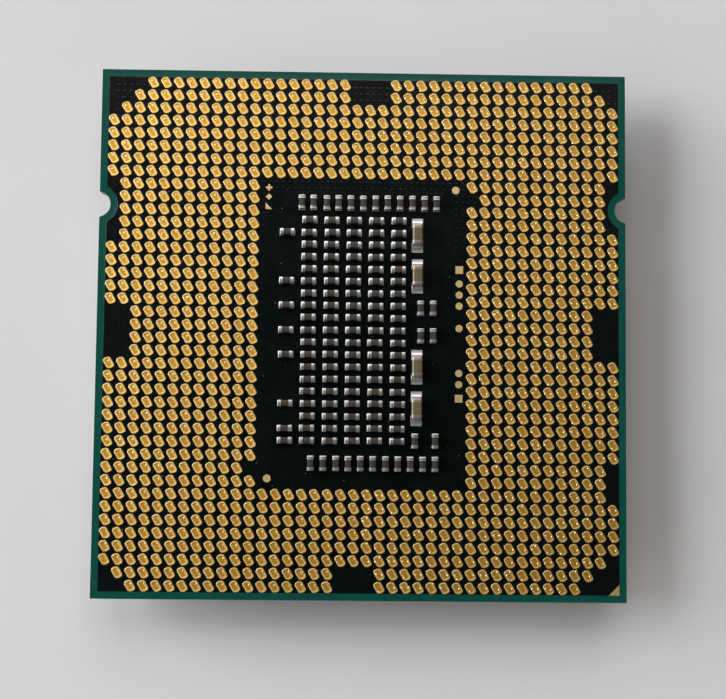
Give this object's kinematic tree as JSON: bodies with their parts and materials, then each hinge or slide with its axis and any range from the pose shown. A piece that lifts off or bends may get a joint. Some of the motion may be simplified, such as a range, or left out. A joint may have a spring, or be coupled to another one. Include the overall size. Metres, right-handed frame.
{
  "type": "computer processor",
  "caption": "Flat square computer processor with a gold land grid round a window of ceramic capacitors on one side and a stepped metal heat spreader on the other.",
  "frame": {"origin": "middle of the heat spreader's outer face, on which the processor lies with its lands up", "axes": "+Z from the heat spreader towards the lands; +Y towards the half that holds the two keying notches; the pin-one corner is at +X, -Y"},
  "size_m": [0.0376, 0.0376, 0.0052],
  "materials": {
    "dark_solder_mask": "satin",
    "green_laminate": "satin",
    "glass_epoxy_core": "matte",
    "nickel_plate": "satin",
    "black_silicone": "matte",
    "bare_solder": "satin",
    "silicon": "gloss",
    "dark_epoxy": "satin",
    "gold_plate": "satin",
    "grey_ceramic": "satin",
    "tan_ceramic": "satin"
  },
  "bodies": {
    "root": {"solder_mask_die_side": "dark_solder_mask", "solder_mask_land_side": "dark_solder_mask", "buildup_die_side": "green_laminate", "buildup_land_side": "green_laminate", "core_laminate": "glass_epoxy_core", "heat_spreader": "nickel_plate", "spreader_adhesive": "black_silicone", "thermal_solder": "bare_solder", "solder_bumps": "bare_solder", "silicon_die": "silicon", "underfill": "dark_epoxy", "contact_lands": "gold_plate", "capacitor_column_1": "grey_ceramic", "capacitor_column_2": "grey_ceramic", "capacitor_column_3": "grey_ceramic", "capacitor_column_4": "grey_ceramic", "capacitor_column_5": "grey_ceramic", "capacitor_row_top": "grey_ceramic", "capacitor_row_bottom": "grey_ceramic", "capacitor_left_1": "grey_ceramic", "capacitor_left_2": "grey_ceramic", "capacitor_left_3": "grey_ceramic", "capacitor_left_4": "grey_ceramic", "capacitor_left_5": "grey_ceramic", "capacitor_left_6": "grey_ceramic", "capacitor_left_7": "grey_ceramic", "capacitor_left_8": "grey_ceramic", "capacitor_right_1": "grey_ceramic", "capacitor_right_2": "grey_ceramic", "capacitor_right_3": "grey_ceramic", "capacitor_right_4": "grey_ceramic", "capacitor_right_5": "grey_ceramic", "capacitor_right_6": "grey_ceramic", "capacitor_large_1": "tan_ceramic", "capacitor_large_2": "tan_ceramic", "capacitor_large_3": "tan_ceramic", "capacitor_large_4": "tan_ceramic", "test_pad_square_1": "gold_plate", "test_pad_square_2": "gold_plate", "test_pad_round_1": "gold_plate", "test_pad_round_2": "gold_plate", "test_pad_round_3": "gold_plate", "test_pad_round_4": "gold_plate", "test_pad_round_5": "gold_plate", "test_pad_round_6": "gold_plate", "fiducial_1": "gold_plate", "fiducial_2": "gold_plate", "etched_cross": "gold_plate", "etched_diamond": "gold_plate", "etched_wedge": "gold_plate", "pin_one_mark_land_side": "gold_plate", "pin_one_mark_die_side": "gold_plate"}
  },
  "joints": []
}
